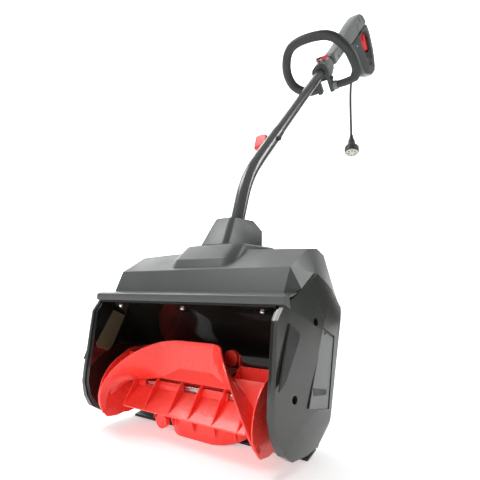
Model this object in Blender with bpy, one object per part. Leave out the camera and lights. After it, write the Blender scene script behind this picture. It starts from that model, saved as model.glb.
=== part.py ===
"""Single stage electric power snow shovel, modelled piece by piece.

Frame: +X is the machine's left-to-right (seen from in front of the intake),
+Y points back towards the operator, +Z is up.  The origin is on the floor,
at the middle of the footprint.  Helper coordinates are millimetres measured
from the middle of the intake lip's lower front edge; at() turns them into
metres in the object's own frame.
"""
import bpy
import bmesh
import math
from mathutils import Vector, Matrix

for _o in list(bpy.data.objects):
    bpy.data.objects.remove(_o, do_unlink=True)

# ------------------------------------------------------------------ driving dimensions (mm)
LIP_WIDTH = 390.0          # front lip, end to end
FLOOR_DROP = 223.0         # lip's lower edge above the floor
ORIGIN_Y = 522.2           # footprint middle behind the lip
PLATE_X = 182.0            # inner face of a side plate
PLATE_T = 3.5
COVER_X0 = 186.0           # inner rim of a side cover
COVER_X1 = 208.0           # crown of a side cover
AUGER_Y, AUGER_Z = 53.0, -145.0
AUGER_R = 77.0
AUGER_HALF = 157.0
SHAFT_R = 6.0
MOTOR_Y, MOTOR_Z = 120.0, -10.0
MOTOR_R = 42.0
BIG_PULLEY_R = 30.0
SMALL_PULLEY_R = 8.0
BELT_X0, BELT_X1 = 189.2, 195.0
LOWER_TUBE_R, LOWER_TUBE_IN = 14.0, 12.85
UPPER_TUBE_R, UPPER_TUBE_IN = 12.5, 11.0
TUBE_ANGLE = math.radians(45.6)      # upper tube above the floor plane
TUBE_T = (0.0, 587.0, 640.0)         # point on the upper tube where the loop handle sits
LOOP_GRIP_R = 13.0
CORD_D = 8.0
GAP = 0.4                            # running gap between neighbours

S_DIR = Vector((0.0, math.cos(TUBE_ANGLE), math.sin(TUBE_ANGLE)))
N_DIR = Vector((0.0, -math.sin(TUBE_ANGLE), math.cos(TUBE_ANGLE)))


def at(x, y, z):
    return Vector((x, y - ORIGIN_Y, z + FLOOR_DROP)) * 0.001


def on_tube(x, s, n):
    """Point from handle coordinates: s along the upper tube, n square to it."""
    p = Vector(TUBE_T) + S_DIR * s + N_DIR * n + Vector((x, 0, 0))
    return at(p.x, p.y, p.z)


# ------------------------------------------------------------------ materials
def material(name, rgb, rough, metal=0.0):
    m = bpy.data.materials.new(name)
    m.use_nodes = True
    b = m.node_tree.nodes["Principled BSDF"]
    b.inputs["Base Color"].default_value = (*rgb, 1.0)
    b.inputs["Roughness"].default_value = rough
    b.inputs["Metallic"].default_value = metal
    return m


GREY = ("shell_grey", (0.10, 0.11, 0.105), 0.45, 0.0)
LIGHT = ("light_grey", (0.22, 0.235, 0.23), 0.45, 0.0)
BLACK = ("gloss_black", (0.012, 0.012, 0.012), 0.18, 0.0)
DARK = ("soft_black", (0.035, 0.036, 0.036), 0.6, 0.0)
RED = ("auger_red", (0.80, 0.035, 0.025), 0.35, 0.0)
STEEL = ("steel", (0.55, 0.55, 0.56), 0.3, 1.0)
TUBE = ("tube_paint", (0.06, 0.062, 0.06), 0.28, 0.3)
RUBBER = ("rubber", (0.02, 0.02, 0.02), 0.8, 0.0)
IVORY = ("ivory", (0.75, 0.74, 0.68), 0.45, 0.0)
BRASS = ("brass", (0.65, 0.47, 0.2), 0.3, 1.0)

MADE = []


def finish(name, bm, mat, origin=None, smooth=None):
    """Turn a bmesh (metres, object frame) into one named object."""
    bmesh.ops.recalc_face_normals(bm, faces=bm.faces)
    me = bpy.data.meshes.new(name)
    if origin is not None:
        bmesh.ops.translate(bm, verts=bm.verts, vec=-origin)
    bm.to_mesh(me)
    bm.free()
    if smooth:
        me.shade_smooth()
        me.set_sharp_from_angle(angle=math.radians(smooth))
    ob = bpy.data.objects.new(name, me)
    bpy.context.scene.collection.objects.link(ob)
    if origin is not None:
        ob.location = origin
    me.materials.append(material(name + "_mat", mat[1], mat[2], mat[3]))
    MADE.append(ob)
    return ob


def cut(target, cutter_bm, solver="EXACT"):
    """Take a closed bmesh away from a piece with a Boolean modifier."""
    bmesh.ops.recalc_face_normals(cutter_bm, faces=cutter_bm.faces)
    me = bpy.data.meshes.new("cut")
    cutter_bm.to_mesh(me)
    cutter_bm.free()
    c = bpy.data.objects.new("cut_" + target.name, me)
    c.hide_render = True
    c.display_type = "WIRE"
    bpy.context.scene.collection.objects.link(c)
    m = target.modifiers.new("cut", "BOOLEAN")
    m.operation = "DIFFERENCE"
    m.solver = solver
    m.object = c
    return m


def add(target, extra_bm):
    """Join a closed bmesh onto a piece with a Boolean union."""
    m = cut(target, extra_bm)
    m.name = "add"
    m.operation = "UNION"
    return m


# ------------------------------------------------------------------ shape helpers
def loft(rings, loop=False, caps=True):
    """Skin a list of equal rings of points; loop closes the last on the first."""
    bm = bmesh.new()
    vs = [[bm.verts.new(p) for p in r] for r in rings]
    n = len(rings[0])
    last = len(vs) if loop else len(vs) - 1
    for i in range(last):
        a, b = vs[i], vs[(i + 1) % len(vs)]
        for k in range(n):
            bm.faces.new((a[k], a[(k + 1) % n], b[(k + 1) % n], b[k]))
    if caps and not loop:
        bm.faces.new(vs[0])
        bm.faces.new(vs[-1])
    return bm


def dish(outer, inner):
    """Open shell: outer rings from rim to crown, inner rings from crown back to rim."""
    bm = bmesh.new()
    vs = [[bm.verts.new(p) for p in r] for r in list(outer) + list(inner)]
    n, no, k = len(outer[0]), len(outer), len(outer) + len(inner)
    for i in range(k):
        if i == no - 1:
            continue
        a, b = vs[i], vs[(i + 1) % k]
        for j in range(n):
            bm.faces.new((a[j], a[(j + 1) % n], b[(j + 1) % n], b[j]))
    bm.faces.new(vs[no - 1])
    bm.faces.new(vs[no])
    return bm


def prism_x(poly, x0, x1):
    """Polygon of (y, z) pushed along X."""
    return loft([[at(x0, y, z) for y, z in poly], [at(x1, y, z) for y, z in poly]])


def prism_tube(poly, x0, x1):
    """Polygon of (s, n) in handle coordinates pushed along X."""
    return loft([[on_tube(x0, s, n) for s, n in poly], [on_tube(x1, s, n) for s, n in poly]])


def circle(r, n, a0=0.0):
    return [(r * math.cos(a0 + 2 * math.pi * k / n), r * math.sin(a0 + 2 * math.pi * k / n)) for k in range(n)]


def rod_x(y, z, stations, n=20):
    """Turned piece about an X axis through (y, z): stations are (x, radius)."""
    return loft([[at(x, y + a, z + b) for a, b in circle(r, n)] for x, r in stations])


def ring_x(y, z, x0, x1, r_in, r_out, n=24):
    """Plain ring about an X axis."""
    rings = []
    for x, r in ((x0, r_in), (x0, r_out), (x1, r_out), (x1, r_in)):
        rings.append([at(x, y + a, z + b) for a, b in circle(r, n)])
    return loft(rings, loop=True)


def turned(base, axis, stations, n=16):
    """Turned piece: base point and axis in metres, stations (mm along, mm radius)."""
    q = axis.to_track_quat("Z", "Y")
    rings = []
    for h, r in stations:
        rings.append([base + axis * (h * 0.001) + q @ (Vector((a, b, 0)) * 0.001) for a, b in circle(r, n)])
    return loft(rings)


def inset(poly, d):
    """Move a counter-clockwise or clockwise polygon's edges inwards by d."""
    n = len(poly)
    area = sum(poly[i][0] * poly[(i + 1) % n][1] - poly[(i + 1) % n][0] * poly[i][1] for i in range(n))
    sg = 1.0 if area > 0 else -1.0
    out = []
    for i in range(n):
        p0, p1, p2 = Vector(poly[i - 1]), Vector(poly[i]), Vector(poly[(i + 1) % n])
        e1, e2 = (p1 - p0).normalized(), (p2 - p1).normalized()
        n1, n2 = Vector((-e1.y, e1.x)) * sg, Vector((-e2.y, e2.x)) * sg
        m = (n1 + n2).normalized()
        out.append(tuple(p1 + m * (d / max(0.35, m.dot(n1)))))
    return out


def band(line, t):
    """Closed section of a folded sheet: an open line of (y, z) thickened by t to its left."""
    pts = [Vector(p) for p in line]
    off = []
    for i, p in enumerate(pts):
        e1 = (p - pts[i - 1]).normalized() if i else (pts[1] - p).normalized()
        e2 = (pts[i + 1] - p).normalized() if i < len(pts) - 1 else e1
        n1, n2 = Vector((-e1.y, e1.x)), Vector((-e2.y, e2.x))
        m = (n1 + n2).normalized()
        off.append(p + m * (t / max(0.5, m.dot(n1))))
    return [tuple(p) for p in pts] + [tuple(p) for p in reversed(off)]


def smooth_path(pts, steps):
    """Points along a Catmull-Rom curve through pts."""
    out = []
    P = [pts[0] * 2 - pts[1]] + list(pts) + [pts[-1] * 2 - pts[-2]]
    for i in range(1, len(P) - 2):
        for k in range(steps):
            t = k / steps
            a, b, c, d = P[i - 1], P[i], P[i + 1], P[i + 2]
            out.append(0.5 * ((2 * b) + (c - a) * t + (2 * a - 5 * b + 4 * c - d) * t * t
                              + (3 * b - a - 3 * c + d) * t ** 3))
    out.append(P[-2].copy())
    return out


def frames(path, side=Vector((1, 0, 0))):
    fr = []
    for i, p in enumerate(path):
        a, b = path[max(0, i - 1)], path[min(len(path) - 1, i + 1)]
        t = (b - a).normalized()
        u = (side - t * side.dot(t)).normalized()
        fr.append((p, u, t.cross(u)))
    return fr


def pipe(path, r_out, r_in=None, n=16, side=Vector((1, 0, 0))):
    """Tube along a path (metres); with r_in it is an open-ended pipe."""
    def rings(r):
        return [[p + (u * a + v * b) * 0.001 for a, b in circle(r, n)] for p, u, v in frames(path, side)]
    if r_in is None:
        return loft(rings(r_out))
    return loft(rings(r_out) + list(reversed(rings(r_in))), loop=True)


def box(x0, x1, y0, y1, z0, z1):
    return prism_x([(y0, z0), (y1, z0), (y1, z1), (y0, z1)], x0, x1)


# ------------------------------------------------------------------ head: side outline
SIDE = [(3, -1), (47, 18), (89, 42), (155, 12), (190, -24), (184, -62), (168, -100), (152, -142),
        (136, -177), (100, -196), (56, -203), (15, -199), (-8, -185), (-20, -165), (-26, -140),
        (-24, -114), (-20, -88), (-16, -52), (-12, -20)]

for tag, sg in (("left", -1), ("right", 1)):
    # flat inner plate that carries the auger bearing
    plate = finish("side_plate_" + tag, prism_x(inset(SIDE, 2.0), sg * PLATE_X, sg * (PLATE_X + PLATE_T)), BLACK)
    cut(plate, rod_x(AUGER_Y, AUGER_Z, [(sg * (PLATE_X - 5), 14.4), (sg * (PLATE_X + 9), 14.4)], 24))
    if sg > 0:
        cut(plate, rod_x(MOTOR_Y, MOTOR_Z, [(PLATE_X - 5, 8.0), (PLATE_X + 9, 8.0)], 16))
    # bulged outer cover, an open dish with a crown and a recessed side panel
    outer = [(COVER_X0, 0.0), (195.0, 0.6), (200.5, 7.0), (COVER_X1, 30.0)]
    inner = [(COVER_X1 - 3.2, 32.0), (197.5, 9.5), (193.0, 4.2), (COVER_X0, 3.4)]
    rings = [[at(sg * x, y, z) for y, z in inset(SIDE, d)] for x, d in outer + inner]
    bm = dish(rings[:len(outer)], rings[len(outer):])
    cover = finish("side_cover_" + tag, bm, GREY)
    # two deep screw wells: a boss down to the plate, the screw's head at its bottom
    for i, (hy, hz, crown) in enumerate(((73, -27, 206.0), (16, -122, 206.0))):
        add(cover, rod_x(hy, hz, [(sg * 187.2, 7.6), (sg * crown, 7.6)], 14))
        cut(cover, rod_x(hy, hz, [(sg * 190.6, 5.3), (sg * 215.0, 5.3)], 14))
        cut(cover, rod_x(hy, hz, [(sg * 185.0, 2.4), (sg * 195.0, 2.4)], 10))
        cut(plate, rod_x(hy, hz, [(sg * 178.0, 2.4), (sg * 190.0, 2.4)], 10))
        finish("cover_screw_%s_%d" % (tag, i + 1),
               rod_x(hy, hz, [(sg * 182.6, 2.0), (sg * 191.0, 2.0), (sg * 191.0, 4.2), (sg * 193.4, 3.6)], 12), STEEL)

# ------------------------------------------------------------------ head: lip, liner, rear cover, scraper
lip = finish("front_lip", prism_x([(-1, 0), (-1, 11), (3, 12.6), (14, 13.2), (14, -1), (28, -8.9), (28, -12.5)],
                                  -LIP_WIDTH / 2, LIP_WIDTH / 2), GREY)
for sg in (-1, 1):       # the covers' shoulders tuck under the lip's ends
    cut(lip, prism_x(inset(SIDE, -0.5), sg * (PLATE_X - 0.4), sg * 215))
LINER = [(96, -213), (116, -203), (131, -184), (138.5, -156), (136.5, -125), (124, -94), (99, -65),
         (60, -35), (30, -17.2), (0, -3.9)]
liner = finish("intake_liner", prism_x(band(LINER, -3.0), -PLATE_X + GAP, PLATE_X - GAP), BLACK)
REAR = [(118, -213.5), (150, -187), (166, -160), (190, -100), (203, -45), (203, -22)]
finish("rear_cover", prism_x(band(REAR, -3.0), -PLATE_X + GAP, PLATE_X - GAP), GREY)
scraper = finish("scraper_blade", prism_x([(84, -223), (89, -223), (114, -217), (113, -213.2), (98, -217.2), (86, -219.6)],
                                          -PLATE_X + GAP, PLATE_X - GAP), DARK)

# three screws that hold the liner up to the lip's inner flange
SLOPE = math.atan2(13.3, 30.0)
down = Vector((0, -math.sin(SLOPE), -math.cos(SLOPE)))
for i, sx in enumerate((-150, 0, 150)):
    seat = at(sx, 18, -3.9 - 18 * math.tan(SLOPE))
    for ob in ("intake_liner", "front_lip"):
        cut(bpy.data.objects[ob], turned(seat - down * 0.020, down, [(0, 2.4), (30, 2.4)], 10))
    finish("roof_screw_%d" % (i + 1), turned(seat - down * 0.006, down,
           [(0, 1.9), (6.3, 1.9), (6.3, 4.2), (7.4, 4.0), (8.6, 2.4)], 10), STEEL)
for i, sx in enumerate((-120, 120)):
    base = at(sx, 106, -218.9)
    up = Vector((0, -0.233, 0.972)).normalized()
    for ob in ("intake_liner", "scraper_blade"):
        cut(bpy.data.objects[ob], turned(base - up * 0.004, up, [(0, 2.4), (30, 2.4)], 10))
    cut(scraper, turned(base - up * 0.004, up, [(0, 4.5), (6.0, 4.5)], 12))
    finish("scraper_screw_%d" % (i + 1), turned(base, up, [(0.2, 3.6), (1.6, 3.9), (1.6, 1.9), (11, 1.9)], 12), STEEL)

# ------------------------------------------------------------------ head: top shell
def shell_section(x):
    """Outline of the top shell's outer skin at a distance x from the middle."""
    a = abs(x)
    crown = 5.0 * (1.0 - (a / 165.0) ** 2) if a < 165 else 0.0
    if a < 170:
        return [(14.6, 13.4), (26.5, 14.6), (44.5, 51.2), (99, 80.5 + crown), (150, 83 + crown), (172, 74 + crown), (197, 38), (206, 0), (206.4, -21)]
    if a < 190:
        return [(14.6, 13.2), (26.5, 14.4), (44.5, 51.0), (98, 79), (133, 62), (153, 54), (172, 37), (190, 6), (201, -21)]
    return [(14.6, 11.5), (34, 14.0), (60, 26.5), (89, 46.5), (110, 38), (124, 33), (157, 17), (186, -10), (195, -21)]


SHELL_X = (-195, -180.5, -165, -90, 0, 90, 165, 180.5, 195)


def shell_solid(shrink):
    rings = []
    for x0 in SHELL_X:
        sec = shell_section(x0) + [(100, -60)]
        x = x0
        if shrink > 0:
            sec = inset(sec, shrink)[:-1]
            sec[0] = (sec[0][0], sec[0][1] - 14)
            sec[-1] = (sec[-1][0], sec[-1][1] - 14)
            sec = sec + [(100, -120)]
            x = x0 - math.copysign(shrink, x0) * (1.0 if abs(x0) > 170 else 0.4) if x0 else 0
        rings.append([at(x, y, z) for y, z in sec])
    return loft(rings)


shell = finish("top_shell", shell_solid(0.0), GREY)
cut(shell, shell_solid(3.0))
for sg in (-1, 1):
    cut(shell, prism_x(inset(SIDE, -0.6), sg * (PLATE_X - 0.6), sg * 215))
cut(shell, box(-196.0, 196.0, -10, 240, -80, -21.4))

# ------------------------------------------------------------------ head: saddle and neck over the ridge
sad_rings = []
for (y0, y1, hw, z, r) in ((44.0, 222.0, 76, 38.0, 26), (45.0, 222.0, 75.5, 45.0, 26), (57.0, 219.0, 69, 70.3, 24), (84.0, 214.0, 65, 93.5, 20), (89.0, 210.0, 62, 96.5, 18)):
    ring = []
    for cx, cy, a0 in ((hw - r, y0 + r, -90), (hw - r, y1 - r, 0), (-hw + r, y1 - r, 90), (-hw + r, y0 + r, 180)):
        for k in range(5):
            a = math.radians(a0 + 22.5 * k)
            ring.append(at(cx + r * math.cos(a), cy + r * math.sin(a), z))
    sad_rings.append(ring)
saddle = finish("saddle_cover", loft(sad_rings), GREY)
# the saddle's foot follows the shell it sits on
rings = []
for x in SHELL_X:
    sec = inset(shell_section(x) + [(100, -60)], -0.5)
    rings.append([at(x, y, z) for y, z in sec])
cut(saddle, loft(rings))
neck_rings = []
for (y0, y1, hw0, hw1, z) in ((90.0, 214.0, 31.0, 34.0, 97.0), (112.0, 214.0, 26.0, 34.0, 131.0), (124.0, 196.0, 23.0, 26.0, 149.0), (127.0, 191.0, 20.0, 22.0, 151.5)):
    c = 9.0
    neck_rings.append([at(x, y, z) for x, y in ((-hw0 + c, y0), (hw0 - c, y0), (hw0, y0 + c + 6), (hw1, y1 - 16), (hw1 - 12, y1), (-hw1 + 12, y1), (-hw1, y1 - 16), (-hw0, y0 + c + 6))])
neck = finish("neck_socket", loft(neck_rings), GREY)

# ------------------------------------------------------------------ drive: motor, belt, pulleys
motor = finish("motor_body", rod_x(MOTOR_Y, MOTOR_Z, [(60, 18), (64, 30), (68, MOTOR_R), (152, MOTOR_R), (158, 30), (160, 22)], 24), STEEL)
cut(motor, rod_x(MOTOR_Y, MOTOR_Z, [(50, 4.4), (170, 4.4)], 16))
finish("motor_bracket", ring_x(MOTOR_Y, MOTOR_Z, 160.4, PLATE_X - GAP, 12.0, 24.0, 20), STEEL)
finish("motor_shaft", rod_x(MOTOR_Y, MOTOR_Z, [(52, 4.0), (197, 4.0)], 16), STEEL, origin=at(0, MOTOR_Y, MOTOR_Z))


def pulley(name, y, z, seat, bore, n):
    prof = [(187.6, bore), (187.6, seat + 2), (189.0, seat + 2), (189.0, seat), (195.4, seat), (195.4, seat + 2), (196.6, seat + 2), (196.6, bore)]
    rings = [[at(x, y + a, z + b) for a, b in circle(r, n)] for x, r in prof]
    return finish(name, loft(rings, loop=True), STEEL if n < 24 else DARK, origin=at(0, y, z))


pulley("motor_pulley", MOTOR_Y, MOTOR_Z, SMALL_PULLEY_R, 4.3, 20)
pulley("auger_pulley", AUGER_Y, AUGER_Z, BIG_PULLEY_R, SHAFT_R + 0.3, 32)


def belt_line(extra):
    """Outline of a belt round both pulleys, standing extra off their seats."""
    r1, r2 = BIG_PULLEY_R + extra, SMALL_PULLEY_R + extra
    c1, c2 = Vector((AUGER_Y, AUGER_Z)), Vector((MOTOR_Y, MOTOR_Z))
    d = c2 - c1
    base = math.atan2(d.y, d.x)
    b = math.acos((r1 - r2) / d.length)
    pts = []
    for k in range(17):
        a = base + b + (2 * math.pi - 2 * b) * k / 16
        pts.append((c1.x + r1 * math.cos(a), c1.y + r1 * math.sin(a)))
    for k in range(7):
        a = base - b + 2 * b * k / 6
        pts.append((c2.x + r2 * math.cos(a), c2.y + r2 * math.sin(a)))
    return pts


bo, bi = belt_line(2.0), belt_line(0.45)
finish("drive_belt", loft([[at(BELT_X0, y, z) for y, z in bi], [at(BELT_X0, y, z) for y, z in bo],
                           [at(BELT_X1, y, z) for y, z in bo], [at(BELT_X1, y, z) for y, z in bi]], loop=True), RUBBER)
for tag, sg in (("left", -1), ("right", 1)):
    finish("auger_bearing_" + tag, ring_x(AUGER_Y, AUGER_Z, sg * 176.0, sg * 185.4, SHAFT_R + 0.08, 14.0, 24), STEEL)

# ------------------------------------------------------------------ auger
AX = at(0, AUGER_Y, AUGER_Z)
finish("auger_shaft", rod_x(AUGER_Y, AUGER_Z, [(-185.5, SHAFT_R), (198.5, SHAFT_R)], 20), STEEL, origin=AX)


def sweep_angle(u):
    """How far a paddle has wound round the shaft (degrees) at distance u from its middle."""
    table = [(0, 0), (35, 0), (50, 5), (65, 14), (79, 28), (95, 42), (109, 54), (125, 69), (137, 82), (147, 96), (153, 112), (157, 132)]
    for (u0, a0), (u1, a1) in zip(table, table[1:]):
        if u <= u1:
            return a0 + (a1 - a0) * (u - u0) / (u1 - u0)
    return table[-1][1]


def paddle(name, start):
    """Flat blade at the middle that winds forward into a wing at each end."""
    xs = [-157, -153.5, -149, -143, -134, -123, -110, -96, -82, -68, -52, -36, 0, 36, 52, 68, 82, 96, 110, 123, 134, 143, 149, 153.5, 157]
    nr = 4
    front, back = [], []
    for x in xs:
        u = abs(x)
        r_in = 13.0 if u < 112 else 13.0 + (68.0 - 13.0) * ((u - 112) / 45.0) ** 1.2
        slope = (sweep_angle(u + 2) - sweep_angle(max(u - 2, 0))) / (min(u + 2, 157) - max(u - 2, 0))
        slope = math.radians(slope) * (1 if x >= 0 else -1)
        th = math.radians(start + sweep_angle(u))
        fr, bk = [], []
        for k in range(nr + 1):
            r = r_in + (AUGER_R - r_in) * k / nr
            rad = Vector((0, math.cos(th), math.sin(th)))
            tan = Vector((0, -math.sin(th), math.cos(th)))
            nrm = (tan - Vector((1, 0, 0)) * (r * slope)).normalized()
            p = Vector((x, AUGER_Y, AUGER_Z)) + rad * r
            f, b = p + nrm * 1.7, p - nrm * 1.7
            for q in (f, b):
                d = Vector((q.y - AUGER_Y, q.z - AUGER_Z))
                if d.length < 12.6:
                    d = d.normalized() * 12.6
                    q.y, q.z = AUGER_Y + d.x, AUGER_Z + d.y
            fr.append(at(*f))
            bk.append(at(*b))
        front.append(fr)
        back.append(bk)
    rings = [f + list(reversed(b)) for f, b in zip(front, back)]
    return finish(name, loft(rings), RED, origin=AX, smooth=40)


paddle("auger_paddle_a", 90.0)
paddle("auger_paddle_b", 270.0)


def ray(r, deg, off=0.0):
    a = math.radians(deg)
    return (AUGER_Y + r * math.cos(a) - off * math.sin(a), AUGER_Z + r * math.sin(a) + off * math.cos(a))


core = [ray(52, 218, -2), ray(11.5, 238), ray(10.5, 270), ray(10.5, 310), ray(10.5, 350), ray(11.5, 18),
        ray(52, 38, -2), ray(52, 38, 2), ray(11.5, 58), ray(10.5, 90), ray(10.5, 130), ray(10.5, 170), ray(11.5, 198), ray(52, 218, 2)]
core_ob = finish("auger_core", prism_x(core, -129, 129), RED, origin=AX)
cut(core_ob, rod_x(AUGER_Y, AUGER_Z, [(-160, SHAFT_R + 0.3), (160, SHAFT_R + 0.3)], 20))
for tag, sg in (("left", -1), ("right", 1)):
    finish("auger_end_" + tag, ring_x(AUGER_Y, AUGER_Z, sg * 162.0, sg * 165.0, SHAFT_R + 0.3, 57.0, 28), RED, origin=AX)

# ------------------------------------------------------------------ handle tubes
low_pts = [Vector(p) for p in ((0, 157.0, 115.0), (0, 164.0, 137.0), (0, 171.0, 157.0), (0, 179.5, 181.5), (0, 188.0, 206.0))]
bend_pts = [Vector(p) for p in ((0, 196, 224), (0, 206, 242), (0, 218.5, 260), (0, 230.5, 274.5), (0, 244, 289), (0, 259, 305))]
T = Vector(TUBE_T)
line_pts = [T + S_DIR * s for s in (-430, -400, -364)]
low_path = low_pts + bend_pts + line_pts
low_path = [at(*p) for p in smooth_path(low_path[:1] + low_path[2:], 2)]
lower = finish("lower_tube", pipe(low_path, LOWER_TUBE_R, LOWER_TUBE_IN, 16), TUBE, smooth=40)
cut(neck, pipe([at(0, 148, 88)] + low_path[:6], LOWER_TUBE_R + 0.4, None, 16))
upper = finish("upper_tube", pipe([on_tube(0, s, 0) for s in (-420, -364, -200, 0, 120, 232)], UPPER_TUBE_R, UPPER_TUBE_IN, 16), TUBE, smooth=40)
# clamp bolt across both tubes with a wing knob on the left and a nut on the right
KNOB_S = -400.0
for ob in (lower, upper):
    p = on_tube(0, KNOB_S, 0)
    cut(ob, loft([[p + Vector((x, a * 0.001, b * 0.001)) for a, b in circle(3.4, 12)] for x in (-0.03, 0.03)]))
pk = on_tube(0, KNOB_S, 0)


def about_x(p, stations, n=12, a0=0.0):
    return loft([[p + Vector((x * 0.001, a * 0.001, b * 0.001)) for a, b in circle(r, n, a0)] for x, r in stations])


finish("joint_bolt", about_x(pk, [(-21.0, 3.0), (14.6, 3.0), (14.6, 5.4), (17.6, 5.4), (18.4, 4.2)], 12), STEEL)
# wing knob: hub with two flat wings
KNOB_TURN = math.radians(27.0)
WING = S_DIR * math.cos(KNOB_TURN) + N_DIR * math.sin(KNOB_TURN)
FLAT = N_DIR * math.cos(KNOB_TURN) - S_DIR * math.sin(KNOB_TURN)
knob = []
for x, rw, rt in ((-15.0, 8.5, 8.5), (-22.0, 9.0, 8.0), (-25.0, 15.0, 7.0), (-42.0, 18.5, 5.6), (-45.0, 17.5, 4.6)):
    knob.append([pk + Vector((x * 0.001, 0, 0)) + (WING * (rw * math.cos(a)) + FLAT * (rt * math.sin(a))) * 0.001
                 for a in [2 * math.pi * k / 16 for k in range(16)]])
knob_ob = finish("joint_knob", loft(knob), RED, origin=pk)
cut(knob_ob, about_x(pk, [(-10, 3.4), (-25, 3.4)], 12))

# ------------------------------------------------------------------ loop handle and its clamp
LOOP_S = 4.0
loop_line = [(25.4, -48), (40, -48), (65, -47), (86, -42), (97, -26), (99.5, -8), (97.5, 14), (92, 34), (81, 56), (69, 73), (56, 84.5),
             (38, 93), (13, 98), (-14, 100), (-40, 98.5), (-63, 91), (-81, 75), (-94, 52), (-100.5, 31), (-101.5, 9), (-96.5, -13),
             (-85, -29), (-70, -40), (-50, -47.6), (-25.4, -48)]
loop_path = smooth_path([on_tube(x, LOOP_S, n) for x, n in loop_line], 1)
finish("loop_handle", pipe(loop_path, LOOP_GRIP_R, None, 12, side=S_DIR), DARK, smooth=50)
# inverted-U yoke over the tube
yo = [(24.0, -61), (24.0, 2)] + [(24 * math.cos(a), 2 + 22 * math.sin(a)) for a in [math.pi * k / 10 for k in range(1, 10)]] + [(-24.0, 2), (-24.0, -61)]
yi = [(-13.4, -61), (-13.4, 0)] + [(-13.4 * math.cos(a), 13.4 * math.sin(a)) for a in [math.pi * k / 10 for k in range(1, 10)]] + [(13.4, 0), (13.4, -61)]
ypoly = yo + yi
yoke = finish("handle_yoke", loft([[on_tube(x, s, n) for x, n in ypoly] for s in (LOOP_S - 13, LOOP_S + 9)]), DARK)
pb = on_tube(0, LOOP_S - 2, -24)
cut(yoke, about_x(pb, [(-30, 3.4), (30, 3.4)], 12))
finish("yoke_bolt", about_x(pb, [(-29.5, 5.0), (-24.6, 5.4), (-24.6, 3.0), (24.6, 3.0), (24.6, 5.4), (29.0, 5.0)], 12), STEEL)
# clamp block behind the yoke, split sleeve on the tube
cb = [(20, -24), (24, -18), (24, 12), (16, 21), (-16, 21), (-24, 12), (-24, -18), (-20, -24)]
clamp = finish("clamp_body", loft([[on_tube(x, s, n) for x, n in cb] for s in (LOOP_S + 9.5, LOOP_S + 60)]), LIGHT)
cut(clamp, pipe([on_tube(0, s, 0) for s in (-20, 100)], UPPER_TUBE_R + 0.3, None, 16))
PIN_S, PIN_N = LOOP_S + 24.0, 27.5
pp = on_tube(0, PIN_S, PIN_N)
for sx in (-1, 1):       # two ears that hold the lever's pin
    ear = [(PIN_S - 8, 19.0), (PIN_S + 7, 19.0), (PIN_S + 5, 29), (PIN_S + 2.5, 31.4), (PIN_S - 2.5, 31.4), (PIN_S - 5, 29)]
    add(clamp, prism_tube(ear, sx * 4.8, sx * 8.4))
cut(clamp, about_x(pp, [(-20, 2.4), (20, 2.4)], 10))
finish("clamp_pin", about_x(pp, [(-13.4, 2.0), (13.4, 2.0)], 10), STEEL)
# red cam lever over the clamp, a channel with its cheeks outside the ears
lev = [(PIN_S - 4, 23.6), (PIN_S + 3, 22.3), (PIN_S + 30, 21.9), (PIN_S + 37, 22.6), (PIN_S + 38, 25), (PIN_S + 30, 28), (PIN_S + 6, 34), (PIN_S - 3, 34.4)]
lever = finish("clamp_lever", prism_tube(lev, -13.0, 13.0), RED, origin=pp)
cut(lever, prism_tube([(PIN_S - 14, 18), (PIN_S + 10, 18), (PIN_S + 10, 32.0), (PIN_S + 5, 32.0), (PIN_S + 5, 40), (PIN_S - 14, 40)], -8.9, 8.9))
cut(lever, about_x(pp, [(-20, 2.4), (20, 2.4)], 10))

# ------------------------------------------------------------------ rear handle
top = [(96, -16), (96, 12), (104, 17), (225, 18), (300, 25), (350, 29), (444, 31), (486, 25), (512, 12), (525, -4), (531, -23.6),
       (392, -23.6), (300, -23.6), (262, -22), (225, -18), (104, -17)]
HW = 20.0
rings = []
for x, d in ((-HW, 5.0), (-HW + 5, 0.0), (HW - 5, 0.0), (HW, 5.0)):
    rings.append([on_tube(x, s, n) for s, n in inset(top, d)])
top_cover = finish("handle_top_cover", loft(rings), LIGHT)
cut(top_cover, pipe([on_tube(0, s, 0) for s in (60, 233)], UPPER_TUBE_R + 0.4, None, 16))

D_OUT = [(300, -24.3), (400, -24.3), (531.3, -24.3), (542, -45), (546, -68), (541, -116), (524, -155), (506, -181), (484, -193),
         (440, -189), (376, -161), (352, -142), (338, -110), (316, -62)]
D_IN = [(400, -36), (470, -34), (500, -42), (513, -66), (507, -108), (496, -136), (480, -152), (456, -156), (432, -147), (420, -120), (408, -72)]
for tag, sg in (("left", -1), ("right", 1)):
    rings = []
    for x, d in ((0.2, 0.0), (15.0, 0.0), (HW, 5.0)):
        rings.append([on_tube(sg * x, s, n) for s, n in inset(D_OUT, d)])
    half = finish("grip_shell_" + tag, loft(rings), GREY)
    cut(half, prism_tube(D_IN, sg * -3, sg * 25))
    # pocket for the switch and the trigger's root, open to the finger hole
    cut(half, prism_tube([(498, -46), (536, -50), (534, -112), (500, -118), (480, -110), (480, -60)], -8.4, 8.4))
    # mouth for the cord's strain relief, in the lower front corner
    cut(half, loft([[on_tube(x * 1.0, s, n) for x, n in [(a, -128 + b) for a, b in circle(8.4, 16)]] for s in (320, 372)]))

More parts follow.
